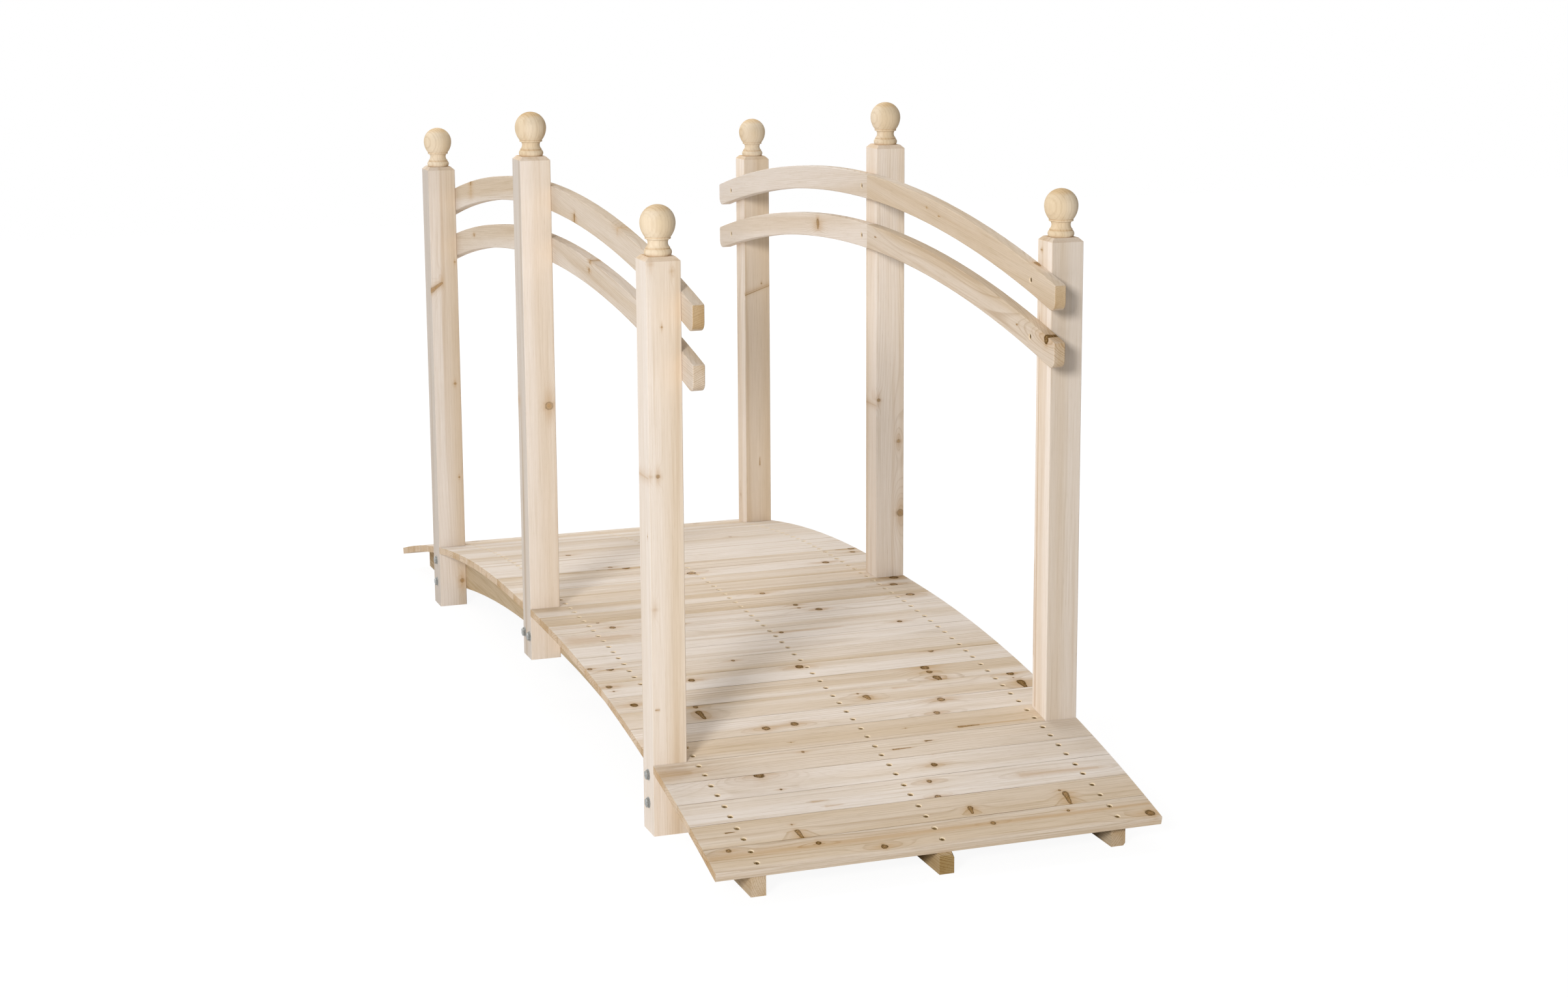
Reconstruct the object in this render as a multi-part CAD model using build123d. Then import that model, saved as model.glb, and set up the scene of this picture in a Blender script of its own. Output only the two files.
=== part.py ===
from build123d import *
import os
from math import asin, cos, degrees, sin, sqrt, tan

# Arched garden footbridge of bare fir. A plank deck lies on three arched stringers, and six posts
# with turned ball finials are bolted to the outer stringers and carry two arched rails a side.
# Millimetres. +X runs along the walkway to the near end, +Y across it to the right and +Z up.
# The origin is on the ground under the middle of the bridge.

# Deck boards
board_length = 670.0
board_pitch = 59.4
board_thickness = 12.0
board_edge_ease = 0.4
tight_gap = 0.5
open_gap = 1.3
open_joints = (-10, -8, -5, -4, -1, 1, 2, 4, 6, 7, 9)
boards_per_bay = 12
ramp_boards = 5

# Arch of the walking surface: a flat crown between two rounder flanks
crown_height = 166.5
crown_radius = 8700.0
crown_half_arc = 155.0
flank_radius = 3540.0

# Stringers
stringer_thickness = 22.0
stringer_setback = 9.0
middle_stringer_projection = 9.0
right_stringer_trim = 10.0
underside_rise = 86.0
foot_length = 164.0
broken_corner_width = 3.0
broken_corner_height = 4.0
broken_corner_length = 14.0

# Posts
post_side = 51.0
post_length = 840.0
post_chamfer = 6.0
post_edge_ease = 1.5
middle_foot_drop = 7.0
post_clearance = 0.3
notch_overrun = 1.0

# Rails: every half has the same depth and curve, and the upper crest is set from the middle post's head
rail_depth = 41.0
rail_thickness = 18.0
rail_radius = 3380.0
rail_edge_ease = 1.5
upper_rail_drop = 48.0
rail_spacing = 84.5
rail_overhang = 75.5
rail_top_rounding = 4.0
rail_bottom_rounding = 14.0

# Turned ball finial, from its base up: radius and height of each member
base_radius = 17.8
bead_radius = 19.8
bead_height = 10.2
quirk_depth = 0.8
quirk_height = 0.8
cove_foot_radius = 17.6
neck_radius = 14.3
neck_height = 17.4
cove_top_radius = 16.0
collar_base = 23.0
collar_radius = 18.5
collar_height = 2.6
ball_seat_radius = 18.3
ball_radius = 25.3
ball_centre_height = 46.0

# Places that follow from the sizes above
post_inner_face = board_length / 2 - post_side
post_centre_y = post_inner_face + post_side / 2
stringer_centre_y = post_inner_face - stringer_thickness / 2
rail_centre_y = post_inner_face - rail_thickness / 2
crown_turn = crown_half_arc / crown_radius
crown_centre_z = crown_height - crown_radius
flank_centre_x = (crown_radius - flank_radius) * sin(crown_turn)
flank_centre_z = crown_centre_z + (crown_radius - flank_radius) * cos(crown_turn)


def joint_arc(joint):
    """Arc length from the crown to a joint between boards. Joint 0 is at a middle post's near face."""
    return post_side / 2 + joint * board_pitch


def arch_tilt(arc):
    """Slope of the deck in radians at an arc length from the crown."""
    if abs(arc) <= crown_half_arc:
        return arc / crown_radius
    flank_turn = (abs(arc) - crown_half_arc) / flank_radius
    return (crown_turn + flank_turn) * (1 if arc > 0 else -1)


def arch_point(tilt, depth=0.0):
    """X and Z of the arch where it has this slope, at a depth below the walking surface."""
    steepness = abs(tilt)
    if steepness <= crown_turn:
        x = (crown_radius - depth) * sin(steepness)
        z = crown_centre_z + (crown_radius - depth) * cos(steepness)
    else:
        x = flank_centre_x + (flank_radius - depth) * sin(steepness)
        z = flank_centre_z + (flank_radius - depth) * cos(steepness)
    return (x if tilt > 0 else -x), z


def joint_x(joint):
    """X of a joint on the walking surface."""
    return arch_point(arch_tilt(joint_arc(joint)))[0]


# Each post stands with its near face on a joint, so a bay between posts is whole boards
near_face_joints = {"near": boards_per_bay, "middle": 0, "far": -boards_per_bay}
post_x = {row: joint_x(joint) - post_side / 2 for row, joint in near_face_joints.items()}
post_foot = {"near": 0.0, "middle": underside_rise - middle_foot_drop, "far": 0.0}
near_end_joint = boards_per_bay + ramp_boards
far_end_joint = -boards_per_bay - ramp_boards - 1
deck_half_length = (joint_x(near_end_joint) - joint_x(far_end_joint)) / 2
sides = {"left": -1, "right": 1}


def post_notch(row, side, open_length=0.0):
    """Space that a board leaves for a post, opened towards the near end by a further length."""
    length = post_side + 2 * post_clearance + open_length
    width = post_side + post_clearance + notch_overrun
    height = 4 * crown_height
    block = Box(length, width, height, align=(Align.MIN, Align.MIN, Align.CENTER))
    far_face = post_x[row] - post_side / 2 - post_clearance
    inner_face = post_inner_face - post_clearance
    if side < 0:
        block = mirror(block, Plane.XZ)
    return Pos(far_face, side * inner_face, crown_height) * block


def gap_at(joint):
    """Width of the joint: some boards have shrunk away from their neighbours."""
    return open_gap if joint in open_joints else tight_gap


def board(joint):
    """One deck board, laid tangent to the arch between this joint and the next one."""
    width = board_pitch - (gap_at(joint) + gap_at(joint + 1)) / 2
    off_centre = (gap_at(joint) - gap_at(joint + 1)) / 4
    slab = Box(width, board_length, board_thickness, align=(Align.CENTER, Align.CENTER, Align.MAX))
    top_edges = slab.edges().filter_by(Axis.Y).group_by(Axis.Z)[-1]
    slab = Pos(off_centre, 0, 0) * chamfer(top_edges, board_edge_ease)
    tilt = arch_tilt((joint_arc(joint) + joint_arc(joint + 1)) / 2)
    x, z = arch_point(tilt)
    slab = Location((x, 0, z), (0, degrees(tilt), 0)) * slab
    for row, face_joint in near_face_joints.items():
        if joint not in (face_joint - 1, face_joint):
            continue
        notch_opening = board_pitch if joint == face_joint - 1 else 0.0
        for side in sides.values():
            slab = slab - post_notch(row, side, notch_opening)
    return slab.solid()


def boards(first_joint, last_joint):
    """A run of loose boards from one joint to another."""
    return Compound([board(joint) for joint in range(first_joint, last_joint)])


def seat_tilt(x):
    """Slope of the arch where the undersides of the boards pass over this X, out on a flank."""
    return asin((x - flank_centre_x) / (flank_radius - board_thickness))


def stringer(centre_y, near_x, far_x):
    """Arched plank on edge: its top follows the undersides of the boards, its feet lie flat."""
    near_tilt = seat_tilt(near_x)
    far_tilt = seat_tilt(far_x)
    half_span = deck_half_length - stringer_setback - foot_length

    def seat(tilt):
        return arch_point(tilt, board_thickness)

    outline = Wire([
        ThreePointArc(seat(-crown_turn), seat(0), seat(crown_turn)),
        ThreePointArc(seat(crown_turn), seat((crown_turn + near_tilt) / 2), seat(near_tilt)),
        Line(seat(near_tilt), (near_x, 0)),
        Line((near_x, 0), (half_span, 0)),
        ThreePointArc((half_span, 0), (0, underside_rise), (-half_span, 0)),
        Line((-half_span, 0), (-far_x, 0)),
        Line((-far_x, 0), seat(-far_tilt)),
        ThreePointArc(seat(-far_tilt), seat(-(crown_turn + far_tilt) / 2), seat(-crown_turn)),
    ])
    profile = Plane.XZ * Face(outline)
    plank = extrude(profile, amount=stringer_thickness / 2, both=True)
    return Pos(0, centre_y, 0) * plank


def without_corner(plank, upper):
    """Plank whose right-hand corner at the near end, upper or lower, has broken off along the grain."""
    end_face = plank.faces().sort_by(Axis.X)[-1]
    corners = end_face.vertices().group_by(Axis.Y)[-1].sort_by(Axis.Z)
    corner = Vector(*corners[-1 if upper else 0])
    slope = tan(seat_tilt(corner.X)) if upper else 0.0
    inwards = corner - Vector(0, broken_corner_width, 0)
    level = corner - Vector(0, 0, broken_corner_height * (1 if upper else -1))
    back = corner - Vector(broken_corner_length, 0, -slope * broken_corner_length)
    break_face = Plane(inwards, x_dir=level - inwards, z_dir=(level - inwards).cross(back - inwards))
    return split(plank, break_face, keep=Keep.BOTTOM if upper else Keep.TOP)


def post(row, side):
    """Square post with eased edges and a chamfered head."""
    shaft = Box(post_side, post_side, post_length, align=(Align.CENTER, Align.CENTER, Align.MIN))
    head = shaft.faces().sort_by(Axis.Z)[-1]
    shaft = chamfer(head.edges(), post_chamfer)
    shaft = fillet(shaft.edges().filter_by(Axis.Z), post_edge_ease)
    return Pos(post_x[row], side * post_centre_y, post_foot[row]) * shaft


def finial():
    """Turned finial: bead, quirk, cove, thin collar and a ball that is fuller below its middle."""
    bead_top = (cove_foot_radius - quirk_depth, bead_height)
    cove_foot = (cove_foot_radius, bead_height + quirk_height)
    collar_top = collar_base + collar_height
    collar_edge = (collar_radius - quirk_depth, collar_base)
    collar_crease = (collar_radius - quirk_depth, collar_top)
    ball_seat = (ball_seat_radius, collar_top + quirk_depth / 2)
    equator = (ball_radius, ball_centre_height)
    crown = (0, ball_centre_height + ball_radius)
    outline = Wire([
        Line((0, 0), (base_radius, 0)),
        ThreePointArc((base_radius, 0), (bead_radius, bead_height / 2), bead_top),
        Line(bead_top, (bead_top[0], cove_foot[1])),
        Line((bead_top[0], cove_foot[1]), cove_foot),
        ThreePointArc(cove_foot, (neck_radius, neck_height), (cove_top_radius, collar_base)),
        Line((cove_top_radius, collar_base), collar_edge),
        ThreePointArc(collar_edge, (collar_radius, collar_base + collar_height / 2), collar_crease),
        Line(collar_crease, ball_seat),
        TangentArc(equator, ball_seat, tangent=(0, -1)),
        ThreePointArc(
            equator,
            (ball_radius * sqrt(0.5), ball_centre_height + ball_radius * sqrt(0.5)),
            crown,
        ),
        Line(crown, (0, 0)),
    ])
    return revolve(Plane.XZ * Face(outline), axis=Axis.Z)


def rail(side, crest, near_x, far_x, overhanging_end):
    """Half a rail, cut plumb at the middle post and rounded where it passes the end post."""
    centre_z = crest - rail_radius

    def top(x):
        return x, centre_z + sqrt(rail_radius ** 2 - x ** 2)

    def bottom(x):
        return x, centre_z + sqrt((rail_radius - rail_depth) ** 2 - x ** 2)

    middle_x = (near_x + far_x) / 2
    outline = Wire([
        ThreePointArc(top(far_x), top(middle_x), top(near_x)),
        Line(top(near_x), bottom(near_x)),
        ThreePointArc(bottom(near_x), bottom(middle_x), bottom(far_x)),
        Line(bottom(far_x), top(far_x)),
    ])
    face = Face(outline)
    end_corners = face.vertices().group_by(Axis.X)[-1 if overhanging_end > 0 else 0].sort_by(Axis.Y)
    face = face.fillet_2d(rail_bottom_rounding, [end_corners[0]])
    end_corners = face.vertices().sort_by(Axis.X)
    tip = end_corners[-2:] if overhanging_end > 0 else end_corners[:2]
    face = face.fillet_2d(rail_top_rounding, [tip.sort_by(Axis.Y)[-1]])
    bar = extrude(Plane.XZ * face, amount=rail_thickness / 2, both=True)
    butt_edges = bar.edges().group_by(Axis.X)[0 if overhanging_end > 0 else -1]
    side_edges = ShapeList(edge for face in bar.faces().filter_by(Axis.Y) for edge in face.edges())
    bar = fillet([edge for edge in side_edges if edge not in butt_edges], rail_edge_ease)
    return Pos(0, side * rail_centre_y, 0) * bar


nodes = {}

outer_end_x = deck_half_length - stringer_setback
middle_end_x = outer_end_x + middle_stringer_projection
trimmed_end_x = outer_end_x - right_stringer_trim
middle_stringer = stringer(0.0, middle_end_x, middle_end_x)
right_stringer = stringer(stringer_centre_y, trimmed_end_x, outer_end_x)
nodes["stringer_left"] = stringer(-stringer_centre_y, outer_end_x, outer_end_x)
nodes["stringer_middle"] = without_corner(middle_stringer, upper=True)
nodes["stringer_right"] = without_corner(right_stringer, upper=False)

nodes["boards_near_ramp"] = boards(boards_per_bay, near_end_joint)
nodes["board_at_near_posts"] = board(boards_per_bay - 1)
nodes["boards_near_span"] = boards(0, boards_per_bay - 1)
nodes["board_at_middle_posts"] = board(-1)
nodes["boards_far_span"] = boards(-boards_per_bay, -1)
nodes["board_at_far_posts"] = board(-boards_per_bay - 1)
nodes["boards_far_ramp"] = boards(far_end_joint, -boards_per_bay - 1)

for row in post_x:
    for side_name, side in sides.items():
        nodes[f"post_{row}_{side_name}"] = post(row, side)
        head_height = post_foot[row] + post_length
        finial_place = Pos(post_x[row], side * post_centre_y, head_height)
        nodes[f"finial_{row}_{side_name}"] = finial_place * finial()

upper_crest = post_foot["middle"] + post_length - upper_rail_drop
rail_crests = {"upper": upper_crest, "lower": upper_crest - rail_spacing}
rail_joint_x = post_x["middle"] + post_side / 2
rail_near_end = post_x["near"] + rail_overhang
rail_far_end = post_x["far"] - rail_overhang
for side_name, side in sides.items():
    for level, crest in rail_crests.items():
        near_half = rail(side, crest, rail_near_end, rail_joint_x, overhanging_end=1)
        far_half = rail(side, crest, rail_joint_x, rail_far_end, overhanging_end=-1)
        nodes[f"rail_{level}_{side_name}_near"] = near_half
        nodes[f"rail_{level}_{side_name}_far"] = far_half

os.makedirs("parts", exist_ok=True)
for name, shape in nodes.items():
    export_step(shape, f"parts/{name}.step")
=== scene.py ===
from itertools import product
from math import cos, pi, radians, sin, sqrt

import bmesh
import bpy
import numpy as np
from mathutils import Euler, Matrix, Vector


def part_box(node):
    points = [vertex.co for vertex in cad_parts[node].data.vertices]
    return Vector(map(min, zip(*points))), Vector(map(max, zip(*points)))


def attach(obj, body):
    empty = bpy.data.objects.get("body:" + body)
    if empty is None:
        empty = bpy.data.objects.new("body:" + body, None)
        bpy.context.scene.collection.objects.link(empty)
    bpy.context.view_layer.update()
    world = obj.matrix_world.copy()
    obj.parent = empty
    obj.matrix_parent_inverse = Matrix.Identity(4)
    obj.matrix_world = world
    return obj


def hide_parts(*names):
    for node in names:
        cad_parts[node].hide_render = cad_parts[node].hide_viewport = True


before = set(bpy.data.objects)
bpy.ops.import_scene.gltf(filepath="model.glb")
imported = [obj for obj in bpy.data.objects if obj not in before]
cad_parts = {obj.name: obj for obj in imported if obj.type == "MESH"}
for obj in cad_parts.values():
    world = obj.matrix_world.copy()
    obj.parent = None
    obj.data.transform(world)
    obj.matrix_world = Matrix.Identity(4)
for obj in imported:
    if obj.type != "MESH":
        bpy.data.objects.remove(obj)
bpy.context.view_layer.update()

# Arched garden footbridge of bare fir. Metres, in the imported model's frame: +X along the walkway to the
# near end, +Y across it to the right, +Z up, with the origin on the ground under the middle.
MM = 0.001

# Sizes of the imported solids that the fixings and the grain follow
BOARD_PITCH = 59.4 * MM
POST_SIDE = 51 * MM
CROWN_HEIGHT = 166.5 * MM
CROWN_RADIUS = 8700 * MM
CROWN_HALF_ARC = 155 * MM
FLANK_RADIUS = 3540 * MM
RAIL_RADIUS = 3380 * MM

# The walking surface: how far it has turned where the crown meets a flank, and the centres of both arcs
CROWN_TURN = CROWN_HALF_ARC / CROWN_RADIUS
CROWN_CENTRE_Z = CROWN_HEIGHT - CROWN_RADIUS
FLANK_CENTRE_X = (CROWN_RADIUS - FLANK_RADIUS) * sin(CROWN_TURN)
FLANK_CENTRE_Z = CROWN_CENTRE_Z + (CROWN_RADIUS - FLANK_RADIUS) * cos(CROWN_TURN)


# Nodes

class Tree:
    """Adds nodes to a node tree and returns their first outputs, so that a pattern reads as a formula."""

    def __init__(self, tree):
        self.tree = tree
        self.nodes = tree.nodes

    def feed(self, socket, value):
        if isinstance(value, bpy.types.NodeSocket):
            self.tree.links.new(value, socket)
        elif value is not None:
            socket.default_value = value

    def node(self, kind, inputs=(), **settings):
        made = self.nodes.new(kind)
        for name, value in settings.items():
            setattr(made, name, value)
        pairs = inputs.items() if isinstance(inputs, dict) else enumerate(inputs)
        for key, value in pairs:
            self.feed(made.inputs[key], value)
        return made

    def math(self, operation, *values, clamp=False):
        return self.node("ShaderNodeMath", values, operation=operation, use_clamp=clamp).outputs[0]

    def vector_math(self, operation, *values):
        made = self.node("ShaderNodeVectorMath", values, operation=operation)
        return made.outputs["Value" if operation in ("LENGTH", "DOT_PRODUCT") else "Vector"]

    def scaled(self, vector, factor):
        made = self.node("ShaderNodeVectorMath", (vector,), operation="SCALE")
        self.feed(made.inputs["Scale"], factor)
        return made.outputs["Vector"]

    def parts(self, vector):
        return self.node("ShaderNodeSeparateXYZ", (vector,)).outputs

    def vector(self, x, y, z):
        return self.node("ShaderNodeCombineXYZ", (x, y, z)).outputs[0]

    def step(self, value, low, high, to_low=0.0, to_high=1.0):
        """Smooth step of a value from one level to another."""
        inputs = {"Value": value, "From Min": low, "From Max": high, "To Min": to_low, "To Max": to_high}
        return self.node("ShaderNodeMapRange", inputs, interpolation_type="SMOOTHSTEP").outputs[0]

    def bell(self, distance, width):
        """Bell curve that is 1 at no distance."""
        share = self.math("DIVIDE", distance, width)
        square = self.math("MULTIPLY", share, share)
        return self.math("EXPONENT", self.math("MULTIPLY", square, -1.0))

    def noise(self, vector, scale=1.0, detail=2.0):
        """Noise as a value and a colour."""
        return self.node("ShaderNodeTexNoise", {"Vector": vector, "Scale": scale, "Detail": detail}).outputs

    def mix(self, factor, first, second, blend="MIX"):
        made = self.nodes.new("ShaderNodeMix")
        made.data_type = "RGBA"
        made.blend_type = blend
        for key, value in ((0, factor), (6, first), (7, second)):
            self.feed(made.inputs[key], value)
        return made.outputs[2]

    def group(self, tree, inputs):
        made = self.nodes.new("ShaderNodeGroup")
        made.node_tree = tree
        for key, value in inputs.items():
            self.feed(made.inputs[key], value)
        return made.outputs


def new_group(name, inputs, outputs, kind="ShaderNodeTree"):
    """A node group with these sockets, given as name and type or name, type and value."""
    tree = bpy.data.node_groups.new(name, kind)
    for in_out, sockets in (("INPUT", inputs), ("OUTPUT", outputs)):
        for socket_name, socket_type, *value in sockets:
            made = tree.interface.new_socket(socket_name, in_out=in_out, socket_type=socket_type)
            if value:
                made.default_value = value[0]
    build = Tree(tree)
    return build, build.node("NodeGroupInput").outputs, build.node("NodeGroupOutput").inputs


VECTOR, FLOAT, COLOUR = "NodeSocketVector", "NodeSocketFloat", "NodeSocketColor"
GEOMETRY, OBJECT, INTEGER = "NodeSocketGeometry", "NodeSocketObject", "NodeSocketInt"
MATERIAL = "NodeSocketMaterial"


def shade(red, green, blue):
    """A colour written as it looks on screen, 0 to 255, for a shader."""
    def linear(level):
        share = level / 255
        return share / 12.92 if share <= 0.04045 else ((share + 0.055) / 1.055) ** 2.4
    return linear(red), linear(green), linear(blue), 1.0


# Wood

SAPWOOD, HEARTWOOD = shade(226, 215, 204), shade(208, 189, 165)
STREAK_WOOD, LATE_WOOD = shade(196, 173, 145), shade(172, 144, 110)
KNOT_HALO, KNOT_CORE, KNOT_RIM = shade(184, 142, 84), shade(98, 70, 28), shade(64, 45, 20)
HALO_DEPTH, RIM_DEPTH = 0.8, 0.88
END_TINT = (0.86, 0.77, 0.65, 1.0)
END_FACING = (0.6, 0.85)
WHITE = (1.0, 1.0, 1.0, 1.0)

# Patterns in the wood: how fine along the fibres and across them, and their detail
DRIFT = (1.7, 10.0, 1.0)
FIBRE = (14.0, 620.0, 2.0)

# The same, with the levels of the noise between which a pattern comes up, and its strength at both
PATCH = (2.0, 30.0, 1.0, (0.3, 0.75, 0.35, 1.0))
STREAK = (1.1, 60.0, 2.0, (0.54, 0.76, 0.0, 0.6))
BAND = (0.5, 22.0, 1.0, (0.32, 0.68, -0.42, 0.42))
HAIR = (6.0, 330.0, 1.0, (0.56, 0.72))
PORE = (60.0, 1300.0, 0.0, (0.62, 0.8))

# What fibres, hairs and pores add to the tone, and how much of it red, green and blue take
FIBRE_TONE, HAIR_TONE, PORE_TONE = 0.42, -0.12, -0.12
FINE_SHARES = (0.8, 1.0, 1.4)

# Growth rings: how uneven they are, and the share of a year where late wood comes up and where it stops
UNEVEN_SCALE, UNEVEN_YEARS = 120.0, 1.6
LATE_RISE, LATE_STOP = (0.58, 0.93), (1.0, 0.95)
RINGS_AT_END, RINGS_AT_KNOT = 0.8, 1.6

# How far apart the timbers of two seeds lie in the patterns
SEED_SHIFT = (3.1, 5.7, 1.9)

# Roughness of the wood, and what fibres and knots add to it, then what late wood, fibres and knots add to
# the height of the surface
DULL, DULL_FIBRE, DULL_KNOT = 0.5, 0.2, -0.1
LATE_HEIGHT, FIBRE_HEIGHT, KNOT_HEIGHT = 0.5, 0.5, -0.6

# Strength and depth of the relief of each surface
WOOD_RELIEF, METAL_RELIEF, TORN_RELIEF = (0.6, 0.25 * MM), (0.3, 0.2 * MM), (0.5, 0.2 * MM)

# Knots: their ragged outline and specks, then what is measured in multiples of their radius
OUTLINE_SCALE, OUTLINE_RAGGED, OUTLINE_LEAST = 170.0, 0.5, 0.75
SPECK_SCALE, SPECK_DEPTH = 620.0, 1.6
TAPER = 0.35
CORE_EDGE, CORE_DEPTH = (1.1, 0.86), (0.1, 0.85, 0.08, 0.38)
RIM_PLACE, RIM_WIDTH, RIM_GAPS = 0.9, 0.15, (0.36, 0.6, 0.3, 1.0)
RIPE_CORE, RIPE_RIM = 0.65, -0.6
HALO_WIDTH, SOFT_HALO = 1.5, -0.45

# The eye of grain round a knot: its narrowing along the fibres, its stain, and how far rings swerve in it
EYE_SHAPE = (0.28, 1.0, 1.0)
EYE_STAIN_WIDTH, EYE_STAIN = 1.3, 0.6
SWERVE_WIDTH, SWERVE = 2.1, 1.6


def make_knot_group():
    """One knot: a tapering rod of branch wood through the timber, seen wherever a face cuts it.

    Marks are its core, rim and halo, and Bump is how far the growth rings swerve round it. A soft one is
    only the stain and the swerve."""
    build, given, out = new_group(
        "Knot",
        [
            ("Grain", VECTOR), ("Centre", VECTOR), ("Axis", VECTOR, (0, 0, 0.02)), ("Radius", FLOAT, 0.004),
            ("Soft", FLOAT, 0.0),
        ],
        [("Marks", VECTOR), ("Bump", FLOAT)],
    )
    away = build.vector_math("SUBTRACT", given["Grain"], given["Centre"])
    length = build.vector_math("DOT_PRODUCT", given["Axis"], given["Axis"])
    along = build.math("DIVIDE", build.vector_math("DOT_PRODUCT", away, given["Axis"]), length)
    along = build.math("MINIMUM", build.math("MAXIMUM", along, -1.0), 1.0)
    off = build.vector_math("SUBTRACT", away, build.scaled(given["Axis"], along))

    ragged = build.noise(given["Grain"], OUTLINE_SCALE, 1.5)[0]
    speck = build.noise(given["Grain"], SPECK_SCALE, 1.0)[0]
    outline = build.math("MULTIPLY_ADD", ragged, OUTLINE_RAGGED, OUTLINE_LEAST)
    radius = build.math("MULTIPLY", given["Radius"], outline)
    radius = build.math("MULTIPLY", radius, build.math("MULTIPLY_ADD", along, -TAPER, 1.0))
    near = build.math("DIVIDE", build.vector_math("LENGTH", off), radius)
    eye = build.vector_math("MULTIPLY", off, EYE_SHAPE)
    around = build.math("DIVIDE", build.vector_math("LENGTH", eye), given["Radius"])

    hard = build.math("SUBTRACT", 1.0, given["Soft"])
    ripe = build.node("ShaderNodeTexWhiteNoise", {"Vector": given["Centre"]}).outputs["Value"]
    depth = build.math("MULTIPLY_ADD", ripe, RIPE_CORE, build.step(near, *CORE_DEPTH))
    depth = build.math("MULTIPLY_ADD", build.math("SUBTRACT", speck, 0.5), SPECK_DEPTH, depth, clamp=True)
    core = build.math("MULTIPLY", build.step(near, *CORE_EDGE), depth)
    rim = build.bell(build.math("SUBTRACT", near, RIM_PLACE), RIM_WIDTH)
    rim = build.math("MULTIPLY", rim, build.step(ragged, *RIM_GAPS))
    rim = build.math("MULTIPLY", rim, build.math("MULTIPLY_ADD", ripe, RIPE_RIM, 1.0))
    stain = build.math("MULTIPLY", build.bell(around, EYE_STAIN_WIDTH), EYE_STAIN)
    halo = build.math("MAXIMUM", build.bell(near, HALO_WIDTH), stain)
    halo = build.math("MULTIPLY", halo, build.math("MULTIPLY_ADD", given["Soft"], SOFT_HALO, 1.0))
    marks = build.vector(build.math("MULTIPLY", core, hard), build.math("MULTIPLY", rim, hard), halo)
    build.feed(out["Marks"], marks)
    swerve = build.math("MULTIPLY", build.bell(around, SWERVE_WIDTH), SWERVE)
    build.feed(out["Bump"], build.math("MULTIPLY", given["Radius"], swerve))
    return build.tree


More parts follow.
